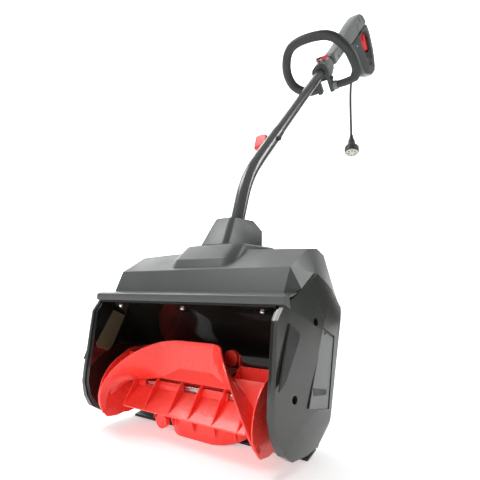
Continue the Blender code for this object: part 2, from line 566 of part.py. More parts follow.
# switch behind the trigger
finish("switch_body", prism_tube([(521, -52), (533, -55), (531.5, -108), (520, -108)], -7.8, 7.8), DARK)
TRIG_S, TRIG_N = 508.0, -54.0
pt = on_tube(0, TRIG_S, TRIG_N)
trig = [(504, -49), (512, -49), (517, -56), (516, -84), (509, -108), (499, -110), (489, -100), (487, -84), (492, -64)]
trigger = finish("trigger", prism_tube(trig, -7.0, 7.0), RED, origin=pt)
cut(trigger, about_x(pt, [(-20, 2.3), (20, 2.3)], 10))
finish("trigger_pin", about_x(pt, [(-8.0, 1.9), (8.0, 1.9)], 10), STEEL)
# lock-off button in the top cover's rear end
LOCK_N = -6.0
pl = on_tube(0, 510, LOCK_N)
cut(top_cover, loft([[on_tube(x, s, n) for x, n in ((-6.4, LOCK_N - 7.4), (6.4, LOCK_N - 7.4), (6.4, LOCK_N + 5.4), (-6.4, LOCK_N + 5.4))] for s in (500, 560)]))
finish("lock_button", loft([[on_tube(x, s, n) for x, n in ((-6 + c, LOCK_N - 7 + c), (6 - c, LOCK_N - 7 + c), (6 - c, LOCK_N + 5 - c), (-6 + c, LOCK_N + 5 - c))]
                            for s, c in ((506, 0), (529, 0), (532.5, 1.6))]), RED, origin=pl)
for i, (ss, nn) in enumerate(((340, -44), (486, -176))):
    p = on_tube(0, ss, nn)
    for tag in ("left", "right"):
        cut(bpy.data.objects["grip_shell_" + tag], about_x(p, [(-30, 1.9), (30, 1.9)], 10))
    finish("grip_screw_%d" % (i + 1), about_x(p, [(-14, 1.5), (20.4, 1.5), (20.4, 3.0), (22.0, 2.4)], 10), STEEL)

# ------------------------------------------------------------------ cord, strain relief and plug
finish("strain_relief", loft([[on_tube(x, s, -128 + n) for x, n in circle(r, 16)]
                              for s, r in ((369, 7.9), (345, 7.9), (336, 7.7), (318, 5.2))]), RUBBER)
exit_p = Vector(TUBE_T) + S_DIR * 317.6 + N_DIR * -128
PLUG_TOP = Vector((0.0, 826.5, 527.0))
route = [exit_p, exit_p - S_DIR * 14, exit_p - S_DIR * 30, Vector((0, 849.5, 738.0)), Vector((0, 838.5, 708.0)), Vector((0, 832.0, 676.0)),
         Vector((0, 828.5, 640.0)), Vector((0, 827.0, 600.0)), Vector((0, 826.5, 562.0)), PLUG_TOP]
cpts = smooth_path([at(*p) for p in route], 3)
cu = bpy.data.curves.new("cord", "CURVE")
cu.dimensions = "3D"
sp = cu.splines.new("POLY")
sp.points.add(len(cpts) - 1)
for q, p in zip(sp.points, cpts):
    q.co = (p.x, p.y, p.z, 1.0)
cu.bevel_depth = CORD_D * 0.0005
cu.bevel_resolution = 2
cu.use_fill_caps = True
cord = bpy.data.objects.new("cord", cu)
bpy.context.scene.collection.objects.link(cord)
cu.materials.append(material("cord_mat", *RUBBER[1:]))

PT = at(*PLUG_TOP)
dn = Vector((0.0968, -0.276, -0.9563)).normalized()
body = [(1.8, 5.4), (12, 6.4), (19, 7.6), (20.4, 9.0), (27, 11.0), (34, 12.0), (42, 13.5), (47, 20.0), (52, 22.5), (68, 23.0), (70.5, 22.0)]
plug = finish("plug_body", turned(PT, dn, body, 24), DARK)
face = finish("plug_face", turned(PT, dn, [(70.9, 20.8), (73.4, 20.6)], 24), IVORY)
# eight radial slots in the face round a solid middle
side = dn.cross(Vector((1, 0, 0))).normalized()
other = dn.cross(side)
for k in range(8):
    a = 2 * math.pi * (k + 0.5) / 8
    u, v = side * math.cos(a) + other * math.sin(a), other * math.cos(a) - side * math.sin(a)
    cut(face, loft([[PT + dn * d + (u * r + v * w) * 0.001 for r, w in ((8.5, -1.2), (16.5, -2.2), (16.5, 2.2), (8.5, 1.2))] for d in (0.0722, 0.0750)]))
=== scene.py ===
import math
import bpy
import bmesh
from mathutils import Vector, Matrix


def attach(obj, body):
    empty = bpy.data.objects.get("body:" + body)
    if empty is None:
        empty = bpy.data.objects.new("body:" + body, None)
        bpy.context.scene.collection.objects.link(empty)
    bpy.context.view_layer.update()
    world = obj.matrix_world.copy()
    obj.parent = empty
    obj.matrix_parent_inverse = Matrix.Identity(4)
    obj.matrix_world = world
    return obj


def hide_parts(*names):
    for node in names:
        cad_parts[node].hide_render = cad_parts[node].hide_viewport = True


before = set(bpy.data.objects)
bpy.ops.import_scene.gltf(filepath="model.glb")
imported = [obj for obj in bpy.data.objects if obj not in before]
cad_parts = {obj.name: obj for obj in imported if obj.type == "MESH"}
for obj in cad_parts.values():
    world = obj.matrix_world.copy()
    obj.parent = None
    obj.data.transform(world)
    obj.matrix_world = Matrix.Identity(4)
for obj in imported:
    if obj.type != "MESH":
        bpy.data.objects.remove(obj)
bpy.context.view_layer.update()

# ------------------------------------------------------------------ frame numbers, as in the part (mm)
FLOOR_DROP, ORIGIN_Y = 223.0, 522.2
PLATE_X, COVER_X0, COVER_X1 = 182.0, 186.0, 208.0
AUGER_Y, AUGER_Z, AUGER_R = 53.0, -145.0, 77.0
TUBE_ANGLE = math.radians(45.6)
TUBE_T = (0.0, 587.0, 640.0)
S_DIR = Vector((0.0, math.cos(TUBE_ANGLE), math.sin(TUBE_ANGLE)))
N_DIR = Vector((0.0, -math.sin(TUBE_ANGLE), math.cos(TUBE_ANGLE)))
SIDE = [(3, -1), (47, 18), (89, 42), (155, 12), (190, -24), (184, -62), (168, -100), (152, -142),
        (136, -177), (100, -196), (56, -203), (15, -199), (-8, -185), (-20, -165), (-26, -140),
        (-24, -114), (-20, -88), (-16, -52), (-12, -20)]


def at(x, y, z):
    return Vector((x, y - ORIGIN_Y, z + FLOOR_DROP)) * 0.001


def on_tube(x, s, n):
    p = Vector(TUBE_T) + S_DIR * s + N_DIR * n + Vector((x, 0, 0))
    return at(p.x, p.y, p.z)


# ------------------------------------------------------------------ shape helpers
def loft(rings, loop=False, caps=True):
    """Skin a list of equal rings of points; loop closes the last on the first."""
    bm = bmesh.new()
    vs = [[bm.verts.new(p) for p in r] for r in rings]
    n = len(rings[0])
    last = len(vs) if loop else len(vs) - 1
    for i in range(last):
        a, b = vs[i], vs[(i + 1) % len(vs)]
        for k in range(n):
            bm.faces.new((a[k], a[(k + 1) % n], b[(k + 1) % n], b[k]))
    if caps and not loop:
        bm.faces.new(vs[0])
        bm.faces.new(vs[-1])
    return bm


def dish(outer, inner):
    """Open shell: outer rings from rim to crown, inner rings from crown back to rim."""
    bm = bmesh.new()
    vs = [[bm.verts.new(p) for p in r] for r in list(outer) + list(inner)]
    n, no, k = len(outer[0]), len(outer), len(outer) + len(inner)
    for i in range(k):
        if i == no - 1:
            continue
        a, b = vs[i], vs[(i + 1) % k]
        for j in range(n):
            bm.faces.new((a[j], a[(j + 1) % n], b[(j + 1) % n], b[j]))
    bm.faces.new(vs[no - 1])
    bm.faces.new(vs[no])
    return bm


def prism_x(poly, x0, x1):
    """Polygon of (y, z) pushed along X."""
    return loft([[at(x0, y, z) for y, z in poly], [at(x1, y, z) for y, z in poly]])


def prism_tube(poly, x0, x1):
    """Polygon of (s, n) in handle coordinates pushed along X."""
    return loft([[on_tube(x0, s, n) for s, n in poly], [on_tube(x1, s, n) for s, n in poly]])


def circle(r, n, a0=0.0):
    return [(r * math.cos(a0 + 2 * math.pi * k / n), r * math.sin(a0 + 2 * math.pi * k / n)) for k in range(n)]


def rod_x(y, z, stations, n=20):
    """Turned piece about an X axis through (y, z): stations are (x, radius)."""
    return loft([[at(x, y + a, z + b) for a, b in circle(r, n)] for x, r in stations])


def ring_x(y, z, x0, x1, r_in, r_out, n=24):
    """Plain ring about an X axis."""
    rings = []
    for x, r in ((x0, r_in), (x0, r_out), (x1, r_out), (x1, r_in)):
        rings.append([at(x, y + a, z + b) for a, b in circle(r, n)])
    return loft(rings, loop=True)


def turned(base, axis, stations, n=16):
    """Turned piece: base point and axis in metres, stations (mm along, mm radius)."""
    q = axis.to_track_quat("Z", "Y")
    rings = []
    for h, r in stations:
        rings.append([base + axis * (h * 0.001) + q @ (Vector((a, b, 0)) * 0.001) for a, b in circle(r, n)])
    return loft(rings)


def inset(poly, d):
    """Move a counter-clockwise or clockwise polygon's edges inwards by d."""
    n = len(poly)
    area = sum(poly[i][0] * poly[(i + 1) % n][1] - poly[(i + 1) % n][0] * poly[i][1] for i in range(n))
    sg = 1.0 if area > 0 else -1.0
    out = []
    for i in range(n):
        p0, p1, p2 = Vector(poly[i - 1]), Vector(poly[i]), Vector(poly[(i + 1) % n])
        e1, e2 = (p1 - p0).normalized(), (p2 - p1).normalized()
        n1, n2 = Vector((-e1.y, e1.x)) * sg, Vector((-e2.y, e2.x)) * sg
        m = (n1 + n2).normalized()
        out.append(tuple(p1 + m * (d / max(0.35, m.dot(n1)))))
    return out


def band(line, t):
    """Closed section of a folded sheet: an open line of (y, z) thickened by t to its left."""
    pts = [Vector(p) for p in line]
    off = []
    for i, p in enumerate(pts):
        e1 = (p - pts[i - 1]).normalized() if i else (pts[1] - p).normalized()
        e2 = (pts[i + 1] - p).normalized() if i < len(pts) - 1 else e1
        n1, n2 = Vector((-e1.y, e1.x)), Vector((-e2.y, e2.x))
        m = (n1 + n2).normalized()
        off.append(p + m * (t / max(0.5, m.dot(n1))))
    return [tuple(p) for p in pts] + [tuple(p) for p in reversed(off)]


def smooth_path(pts, steps):
    """Points along a Catmull-Rom curve through pts."""
    out = []
    P = [pts[0] * 2 - pts[1]] + list(pts) + [pts[-1] * 2 - pts[-2]]
    for i in range(1, len(P) - 2):
        for k in range(steps):
            t = k / steps
            a, b, c, d = P[i - 1], P[i], P[i + 1], P[i + 2]
            out.append(0.5 * ((2 * b) + (c - a) * t + (2 * a - 5 * b + 4 * c - d) * t * t
                              + (3 * b - a - 3 * c + d) * t ** 3))
    out.append(P[-2].copy())
    return out


def frames(path, side=Vector((1, 0, 0))):
    fr = []
    for i, p in enumerate(path):
        a, b = path[max(0, i - 1)], path[min(len(path) - 1, i + 1)]
        t = (b - a).normalized()
        u = (side - t * side.dot(t)).normalized()
        fr.append((p, u, t.cross(u)))
    return fr


def pipe(path, r_out, r_in=None, n=16, side=Vector((1, 0, 0))):
    """Tube along a path (metres); with r_in it is an open-ended pipe."""
    def rings(r):
        return [[p + (u * a + v * b) * 0.001 for a, b in circle(r, n)] for p, u, v in frames(path, side)]
    if r_in is None:
        return loft(rings(r_out))
    return loft(rings(r_out) + list(reversed(rings(r_in))), loop=True)


def box(x0, x1, y0, y1, z0, z1):
    return prism_x([(y0, z0), (y1, z0), (y1, z1), (y0, z1)], x0, x1)


def sweep_angle(u):
    """How far a paddle has wound round the shaft (degrees) at distance u from its middle."""
    table = [(0, 0), (35, 0), (50, 5), (65, 14), (79, 28), (95, 42), (109, 54), (125, 69), (137, 82), (147, 96), (153, 112), (157, 132)]
    for (u0, a0), (u1, a1) in zip(table, table[1:]):
        if u <= u1:
            return a0 + (a1 - a0) * (u - u0) / (u1 - u0)
    return table[-1][1]


# ------------------------------------------------------------------ procedural materials
def plastic(name, rgb, rough, spread=0.12, grain=900.0, bump=0.15, coat=0.0, metal=0.0, mottle=18.0, spec=0.5, fine=True):
    """Moulded surface: two close colours mottled by noise, uneven gloss and a fine grain."""
    m = bpy.data.materials.new(name)
    m.use_nodes = True
    nt = m.node_tree
    b = nt.nodes["Principled BSDF"]
    b.inputs["Metallic"].default_value = metal
    b.inputs["Coat Weight"].default_value = coat
    b.inputs["Coat Roughness"].default_value = 0.08
    b.inputs["Specular IOR Level"].default_value = spec
    tc = nt.nodes.new("ShaderNodeTexCoord")
    n1 = nt.nodes.new("ShaderNodeTexNoise")
    n1.inputs["Scale"].default_value = mottle
    n1.inputs["Detail"].default_value = 5.0
    n1.inputs["Roughness"].default_value = 0.6
    nt.links.new(tc.outputs["Object"], n1.inputs["Vector"])
    ramp = nt.nodes.new("ShaderNodeValToRGB")
    ramp.color_ramp.elements[0].position = 0.3
    ramp.color_ramp.elements[1].position = 0.7
    lo = [max(0.0, c * (1 - spread)) for c in rgb]
    hi = [min(1.0, c * (1 + spread)) for c in rgb]
    ramp.color_ramp.elements[0].color = (*lo, 1)
    ramp.color_ramp.elements[1].color = (*hi, 1)
    nt.links.new(n1.outputs["Fac"], ramp.inputs["Fac"])
    nt.links.new(ramp.outputs["Color"], b.inputs["Base Color"])
    n2 = nt.nodes.new("ShaderNodeTexNoise")
    n2.inputs["Scale"].default_value = mottle * 2.6
    n2.inputs["Detail"].default_value = 3.0
    nt.links.new(tc.outputs["Object"], n2.inputs["Vector"])
    mr = nt.nodes.new("ShaderNodeMapRange")
    mr.inputs["From Min"].default_value = 0.3
    mr.inputs["From Max"].default_value = 0.7
    mr.inputs["To Min"].default_value = rough * 0.88
    mr.inputs["To Max"].default_value = min(1.0, rough * 1.12)
    nt.links.new(n2.outputs["Fac"], mr.inputs["Value"])
    nt.links.new(mr.outputs["Result"], b.inputs["Roughness"])
    if fine:
        n3 = nt.nodes.new("ShaderNodeTexNoise")
        n3.inputs["Scale"].default_value = grain
        n3.inputs["Detail"].default_value = 2.0
        nt.links.new(tc.outputs["Object"], n3.inputs["Vector"])
        bp = nt.nodes.new("ShaderNodeBump")
        bp.inputs["Strength"].default_value = bump
        bp.inputs["Distance"].default_value = 0.0002
        nt.links.new(n3.outputs["Fac"], bp.inputs["Height"])
        nt.links.new(bp.outputs["Normal"], b.inputs["Normal"])
    return m


M = {}
M["grey"] = plastic("m_shell_grey", (0.066, 0.073, 0.069), 0.37, 0.025, 1500, 0.03, 0.0, 0.0, 9.0, 0.5)
M["cover"] = plastic("m_cover_grey", (0.036, 0.039, 0.034), 0.24, 0.03, 1500, 0.03, 0.0, 0.0, 9.0, 0.6)
M["grey2"] = plastic("m_panel_grey", (0.105, 0.118, 0.113), 0.33, 0.03, 1500, 0.05)
# olive-tinted glossy colour: a painted reflection along the inner side wall, lighter than the black wall
M["painted_reflection"] = plastic("m_painted_reflection_band", (0.135, 0.118, 0.070), 0.16, 0.10, 500, 0.02, 0.3, 0.2, 9.0, 0.7)
M["dgrey"] = plastic("m_grip_grey", (0.046, 0.052, 0.049), 0.34, 0.05, 1400, 0.08)
M["light"] = plastic("m_light_grey", (0.135, 0.152, 0.145), 0.36, 0.05, 1300, 0.08)
M["black"] = plastic("m_gloss_black", (0.009, 0.009, 0.008), 0.09, 0.25, 600, 0.01, 0.0, 0.0, 12.0, 0.85)
M["dark"] = plastic("m_soft_black", (0.026, 0.027, 0.027), 0.50, 0.15, 1600, 0.35)
# near-black slot colour; also laid as painted shade in the cover channel, the screw wells and the handle vents
M["slot"] = plastic("m_slot_black", (0.006, 0.006, 0.006), 0.5, 0.3, 1600, 0.2)
M["grip"] = plastic("m_grip_foam", (0.020, 0.021, 0.021), 0.52, 0.15, 2200, 0.45, 0.0, 0.0, 60.0)
M["red"] = plastic("m_auger_red", (0.98, 0.056, 0.040), 0.27, 0.04, 700, 0.04, 0.2, 0.0, 10.0)
M["red2"] = plastic("m_red_trim", (0.80, 0.030, 0.030), 0.36, 0.08, 1200, 0.08)
M["steel"] = plastic("m_steel", (0.70, 0.70, 0.71), 0.22, 0.06, 900, 0.10, 0.0, 1.0, 40.0)
M["tube"] = plastic("m_tube_paint", (0.070, 0.074, 0.071), 0.24, 0.03, 1500, 0.0, 0.18, 0.1, 8.0, 0.6)
M["rubber"] = plastic("m_rubber", (0.022, 0.022, 0.022), 0.60, 0.2, 1500, 0.3)
M["cord"] = plastic("m_cord_rubber", (0.045, 0.047, 0.046), 0.50, 0.12, 1200, 0.3)
M["ivory"] = plastic("m_ivory", (0.50, 0.49, 0.44), 0.42, 0.05, 800, 0.1)


def piece(name, bm, mat, body, nodes=(), bevel=0.0, seg=2, smooth=35.0, angle=28.0, origin=None):
    """One visible piece: mesh in the object's frame, rounded edges, its body and the CAD nodes it stands for."""
    bmesh.ops.recalc_face_normals(bm, faces=bm.faces)
    me = bpy.data.meshes.new(name)
    bm.to_mesh(me)
    bm.free()
    ob = bpy.data.objects.new(name, me)
    bpy.context.scene.collection.objects.link(ob)
    me.materials.append(M[mat])
    if smooth:
        me.shade_smooth()
        me.set_sharp_from_angle(angle=math.radians(smooth))
    ob["bev"] = 0
    if bevel:
        md = ob.modifiers.new("edge", "BEVEL")
        md.width = bevel * 0.001
        md.segments = seg
        md.limit_method = "ANGLE"
        md.angle_limit = math.radians(angle)
        md.harden_normals = True
        md.use_clamp_overlap = True
    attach(ob, body)
    if nodes:
        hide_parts(*nodes)
    return ob


CUTTERS = []


def carve(target, bm, op="DIFFERENCE", first=True):
    """Boolean a closed shape out of (or onto) a piece, before its edges are rounded."""
    bmesh.ops.recalc_face_normals(bm, faces=bm.faces)
    me = bpy.data.meshes.new("cutter")
    bm.to_mesh(me)
    bm.free()
    c = bpy.data.objects.new("cutter", me)
    bpy.context.scene.collection.objects.link(c)
    CUTTERS.append(c)
    m = target.modifiers.new("carve", "BOOLEAN")
    m.operation = op
    m.solver = "EXACT"
    m.object = c
    if first:
        k = len(target.modifiers) - 1
        e = target.modifiers.find("edge")
        if e >= 0:
            target.modifiers.move(k, e)
    return m


def settle():
    """Turn every piece's modifiers into mesh, then drop the cutters."""
    dg = bpy.context.evaluated_depsgraph_get()
    todo = [o for o in bpy.context.scene.objects if o.type == "MESH" and o.modifiers and o.name not in [c.name for c in CUTTERS]]
    made = []
    for o in todo:
        me = bpy.data.meshes.new_from_object(o.evaluated_get(dg), preserve_all_data_layers=True, depsgraph=dg)
        made.append((o, me))
    for o, me in made:
        o.modifiers.clear()
        o.data = me
    for c in CUTTERS:
        bpy.data.objects.remove(c, do_unlink=True)
    CUTTERS.clear()


def convex(poly, x0, x1, planes):
    """Prism of a (y, z) outline along X, trimmed by planes given as (point, normal) in mm."""
    bm = prism_x(poly, x0, x1)
    for p, nrm in planes:
        geom = bm.verts[:] + bm.edges[:] + bm.faces[:]
        r = bmesh.ops.bisect_plane(bm, geom=geom, plane_co=at(*p), plane_no=Vector(nrm), clear_outer=True)
        edges = [e for e in r["geom_cut"] if isinstance(e, bmesh.types.BMEdge)]
        if edges:
            bmesh.ops.contextual_create(bm, geom=edges)
    return bm


def quads(pts, faces):
    bm = bmesh.new()
    vs = [bm.verts.new(at(*p)) for p in pts]
    for f in faces:
        bm.faces.new([vs[i] for i in f])
    return bm


def slab(outline, depth_dir, depth):
    """Closed plate from a 3-D outline (metres) pushed along a direction (mm)."""
    d = Vector(depth_dir).normalized() * depth * 0.001
    return loft([[Vector(p) for p in outline], [Vector(p) + d for p in outline]])


def capsule(p0, p1, r, n=14):
    """Flat-ended rod between two points (metres), radius in mm."""
    ax = (p1 - p0)
    return turned(p0, ax.normalized(), [(0, r), (ax.length * 1000.0, r)], n)


# ------------------------------------------------------------------ side covers
def plane3(a, b, c, inside):
    a, b, c = Vector(a), Vector(b), Vector(c)
    nrm = (b - a).cross(c - a).normalized()
    if nrm.dot(Vector(inside) - a) > 0:
        nrm = -nrm
    return tuple(a), tuple(nrm)


for tag, sg in (("left", -1), ("right", 1)):
    ins = (sg * 190, 75, -85)
    C1 = COVER_X1 * sg
    pl = [
        plane3((C1, 90, -36), (C1, 50, -113), (sg * 196.6, -21.3, -80), ins),        # broad front bevel
        plane3((C1, 36, -139), (C1, 102, -160), (sg * 196, 44, -202), ins),          # lower bevel
        plane3((C1, 50, -113), (C1, 36, -139), (sg * 200.2, -25, -150), ins),        # lower front corner
        plane3((C1, 160, -22), (C1, 108, -168), (sg * 188, 184, -62), ins),          # rear bevel
        plane3((C1, 108, -168), (C1, 60, -190), (sg * 194, 110, -196), ins),         # lower rear corner
        plane3((C1, 100, 8), (C1, 150, -22), (sg * 199.5, 130, 24), ins),            # top rear bevel
        plane3((C1, 100, 8), (C1, 90, -36), (sg * 201.0, 60, 24), ins),              # towards the apex
    ]
    bm = convex(SIDE, sg * COVER_X0, sg * COVER_X1, pl)
    back = [f for f in bm.faces if all(abs(v.co.x - sg * COVER_X0 * 0.001) < 1e-5 for v in f.verts)]
    bmesh.ops.delete(bm, geom=back, context="FACES_ONLY")
    cover = piece("vis_side_cover_" + tag, bm, "cover", "head", ("side_cover_" + tag,), bevel=4.6, seg=5, smooth=32, angle=24)
    md = cover.modifiers.new("wall", "SOLIDIFY")
    md.thickness = 0.0024
    md.offset = -1.0
    cover.modifiers.move(cover.modifiers.find("wall"), 0)
    # recessed side panel
    pan = [(90, -36), (131, -52), (104, -152), (40, -139), (52, -112)]
    carve(cover, prism_x(pan, sg * 206.6, sg * 215))
    inner = [(92, -38), (129.5, -53.5), (103, -150.5), (42, -138), (54, -112)]
    piece("vis_cover_panel_" + tag, prism_x(inner, sg * 205.5, sg * 206.75), "grey2", "head", bevel=0.4, smooth=30)
    for k, sl in enumerate(([(95, -36.5), (128, -49.5), (127, -54.5), (108, -45.5), (95, -47)], [(54, -113.5), (99, -124), (97.5, -131), (56, -124.5)])):
        piece("vis_cover_slot_%s_%d" % (tag, k), prism_x(sl, sg * 206.5, sg * 207.1), "slot", "head", bevel=0.2, smooth=30)
    # wedge-shaped channel in the front bevel
    tri = [at(sg * 206, 9, -23), at(sg * 206, 34, -38), at(sg * 206, 31, -46), at(sg * 204, -4, -96), at(sg * 203, -23, -106), at(sg * 204, -8, -66)]
    floor = [at(sg * 196.4, 10, -25), at(sg * 200.3, 31, -40), at(sg * 200, 29, -47), at(sg * 198.5, -5, -94), at(sg * 198, -22, -105), at(sg * 197, -7, -66)]
    carve(cover, loft([tri, floor]))
    # black sheet laid on the channel floor: painted shade that makes the shallow groove read deep
    lift = Vector((sg * 0.0006, 0, 0))
    piece("vis_cover_channel_shade_" + tag, loft([[p - lift * 3 for p in floor], [p + lift for p in floor]]), "slot", "head", bevel=0.1, smooth=30)
    # screw wells, each lined with a black sleeve of painted shade
    for hy, hz, wall in ((73, -27, 204.0), (16, -122, 200.0)):
        carve(cover, rod_x(hy, hz, [(sg * 189.0, 5.6), (sg * 215.0, 5.6)], 24))
        piece("vis_screw_well_%s_%d" % (tag, hy), ring_x(hy, hz, sg * 190.2, sg * (wall - 2.2), 5.5, 7.2, 24), "slot", "head", smooth=40)

# ------------------------------------------------------------------ lip and liner
piece("vis_front_lip", prism_x([(-1, 0), (-1.4, 5), (-1.0, 10.4), (3, 12.5), (13.8, 13.3), (14.4, 12.6), (14.4, -1), (28, -8.6), (28, -12.3)], -194.8, 194.8),
      "grey", "head", ("front_lip",), bevel=0.9, seg=3, smooth=35)
LINER = [(96, -213), (116, -203), (131, -184), (138.5, -156), (136.5, -125), (124, -94), (99, -65),
         (60, -35), (30, -17.2), (0, -3.9)]
fine = [tuple(v) for v in [(p.x, p.y) for p in smooth_path([Vector((a, b, 0)) for a, b in LINER], 3)]]
piece("vis_intake_liner", prism_x(band(fine, -3.0), -181.6, 181.6), "black", "head", ("intake_liner",), smooth=50)
for tag, sg in (("left", -1), ("right", 1)):
    plate = inset(SIDE, 2.0)
    ob = piece("vis_side_wall_" + tag, prism_x(plate, sg * 182.0, sg * 185.5), "black", "head", ("side_plate_" + tag,), bevel=1.0, seg=3, smooth=35)
    carve(ob, rod_x(AUGER_Y, AUGER_Z, [(sg * 178, 14.4), (sg * 189, 14.4)], 28))
    if sg > 0:
        carve(ob, rod_x(120, -10, [(178, 8.0), (189, 8.0)], 20))
    # raised flange along the mouth of the side wall
    fl = [(0, -9), (24, -19), (54, -31), (27, -84), (17, -104), (17, -128), (20, -158), (26, -186), (12, -193), (-5, -181), (-17, -163), (-23, -140), (-21, -114), (-17, -88), (-13.4, -52), (-9.4, -20)]
    piece("vis_mouth_flange_" + tag, prism_x(fl, sg * 179.6, sg * 181.9), "black", "head", bevel=0.9, seg=3, smooth=35)
SLOPE = math.atan2(13.3, 30.0)
# thin olive sheet on each mouth flange: a painted reflection along the inner wall
for tag, sg in (("left", -1), ("right", 1)):
    piece("vis_wall_painted_reflection_" + tag, prism_x([(25, -20), (52, -31.5), (27, -81), (16.5, -92), (-8, -84), (-10, -76)], sg * 178.9, sg * 179.5), "painted_reflection", "head", bevel=0.2, smooth=30)

# ------------------------------------------------------------------ top shell
def shell_ring(xs, pts):
    return [at(x, y, z) for x, (y, z) in zip(xs, pts)]


mid = [(14.8, 13.4), (26.6, 14.6), (44.5, 51.2), (99, 80.5), (140, 84.0), (172, 75), (197, 39), (206, 0), (206.4, -21)]
end = [(14.8, 11.6), (45, 15.6), (49, 19.6), (90, 43.0), (112, 38.5), (126, 33), (158, 17), (186, -10), (195, -21)]
rings = []


def crowned(k):
    return [(y, z + (k if 2 < i < 6 else 0.0)) for i, (y, z) in enumerate(mid)]


for x in (-150, -120, -80, -40, 0, 40, 80, 120, 150):
    rings.append(shell_ring([x] * 9, crowned(5.0 * (1 - (x / 178.0) ** 2))))
cre = [178.5, 178.7, 180.1, 181.5, 178.0, 176.0, 176.0, 180.0, 181.0]
rings.insert(0, shell_ring([-c for c in cre], crowned(0.0)))
rings.append(shell_ring(cre, crowned(0.0)))
rings.insert(0, shell_ring([-195] * 9, end))
rings.append(shell_ring([195] * 9, end))
bm = bmesh.new()
vs = [[bm.verts.new(p) for p in r] for r in rings]
for i in range(len(vs) - 1):
    a, b = vs[i], vs[i + 1]
    for k in range(8):
        bm.faces.new((a[k], a[k + 1], b[k + 1], b[k]))
bmesh.ops.recalc_face_normals(bm, faces=bm.faces)
up = sum((f.normal for f in bm.faces), Vector()).normalized()
if up.z < 0:
    bmesh.ops.reverse_faces(bm, faces=bm.faces)
shell = piece("vis_top_shell", bm, "grey", "head", ("top_shell",), bevel=2.2, seg=3, smooth=24, angle=17)
md = shell.modifiers.new("wall", "SOLIDIFY")
md.thickness = 0.003
md.offset = -1.0
shell.modifiers.move(shell.modifiers.find("wall"), 0)
for sg in (-1, 1):
    carve(shell, prism_x(inset(SIDE, -0.7), sg * (PLATE_X - 0.6), sg * 215))

# ------------------------------------------------------------------ saddle and neck
rings = []
for (y0, y1, hw, z, r) in ((44.0, 222.0, 76, 38.0, 26), (45.0, 222.0, 75.5, 45.0, 26), (51.0, 220.5, 72.0, 58.0, 25), (57.0, 219.0, 69, 70.3, 24), (84.0, 214.0, 65, 93.0, 20), (89.0, 210.0, 62, 96.3, 18)):
    ring = []
    for cx, cy, a0 in ((hw - r, y0 + r, -90), (hw - r, y1 - r, 0), (-hw + r, y1 - r, 90), (-hw + r, y0 + r, 180)):
        for k in range(8):
            a = math.radians(a0 + 90 * k / 7)
            ring.append(at(cx + r * math.cos(a), cy + r * math.sin(a), z))
    rings.append(ring)
saddle = piece("vis_saddle", loft(rings), "grey", "head", ("saddle_cover",), bevel=1.2, seg=2, smooth=30, angle=20)
neck_rings = []
for (y0, y1, hw0, hw1, z) in ((90.0, 214.0, 31.0, 34.0, 96.8), (112.0, 214.0, 26.0, 34.0, 131.0), (124.0, 196.0, 23.0, 26.0, 149.0)):
    ring = []
    w = hw0
    for cx, cy, a0, r in ((hw1 - 13, y1 - 13, 0, 13), (-hw1 + 13, y1 - 13, 90, 13), (-w + 12, y0 + 12, 180, 12), (w - 12, y0 + 12, 270, 12)):
        for k in range(8):
            a = math.radians(a0 + 90 * k / 7)
            ring.append(at(cx + r * math.cos(a), cy + r * math.sin(a), z))
    neck_rings.append(ring)
neck = piece("vis_neck", loft(neck_rings), "grey", "head", ("neck_socket",), bevel=1.6, seg=3, smooth=30, angle=26)

# ------------------------------------------------------------------ tubes
low_pts = [Vector(p) for p in ((0, 157.0, 115.0), (0, 171.0, 157.0), (0, 179.5, 181.5), (0, 188.0, 206.0))]
bend_pts = [Vector(p) for p in ((0, 196, 224), (0, 206, 242), (0, 218.5, 260), (0, 230.5, 274.5), (0, 244, 289), (0, 259, 305))]
T = Vector(TUBE_T)
line_pts = [T + S_DIR * s for s in (-430, -400, -364)]
low_path = [at(*p) for p in smooth_path(low_pts + bend_pts + line_pts, 4)]
carve(neck, pipe([at(0, 148, 88)] + low_path[:14], 14.4, None, 32))
lower = piece("vis_lower_tube", pipe(low_path, 14.0, 12.85, 40), "tube", "head", ("lower_tube",), bevel=0.4, seg=2, smooth=40)
upper = piece("vis_upper_tube", pipe([on_tube(0, s, 0) for s in (-420, -364, -200, 0, 120, 232)], 12.5, 11.0, 40), "tube", "head", ("upper_tube",), bevel=0.4, seg=2, smooth=40)
pk = on_tube(0, -400.0, 0)
for ob in (lower, upper):
    carve(ob, loft([[pk + Vector((x, a * 0.001, b * 0.001)) for a, b in circle(3.4, 12)] for x in (-0.03, 0.03)]))
# collar line at the end of the lower tube
piece("vis_tube_collar", pipe([on_tube(0, s, 0) for s in (-364.2, -361.0)], 13.6, 12.56, 40), "slot", "head", smooth=40)
KNOB_TURN = math.radians(27.0)
WING = S_DIR * math.cos(KNOB_TURN) + N_DIR * math.sin(KNOB_TURN)
FLAT = N_DIR * math.cos(KNOB_TURN) - S_DIR * math.sin(KNOB_TURN)
knob = []
for x, rw, rt, q in ((-15.4, 8.4, 8.0, 2.0), (-17.2, 14.6, 7.0, 3.4), (-19.0, 17.0, 6.6, 4.5), (-36.0, 18.4, 6.0, 6.0), (-43.5, 18.4, 5.4, 6.0), (-45.2, 17.2, 4.6, 5.0)):
    knob.append([pk + Vector((x * 0.001, 0, 0)) + (WING * (rw * math.copysign(abs(math.cos(a)) ** (2 / q), math.cos(a))) + FLAT * (rt * math.copysign(abs(math.sin(a)) ** (2 / q), math.sin(a)))) * 0.001
                 for a in [2 * math.pi * k / 28 for k in range(28)]])
piece("vis_joint_knob", loft(knob), "red2", "knob", ("joint_knob",), bevel=0.5, smooth=35)
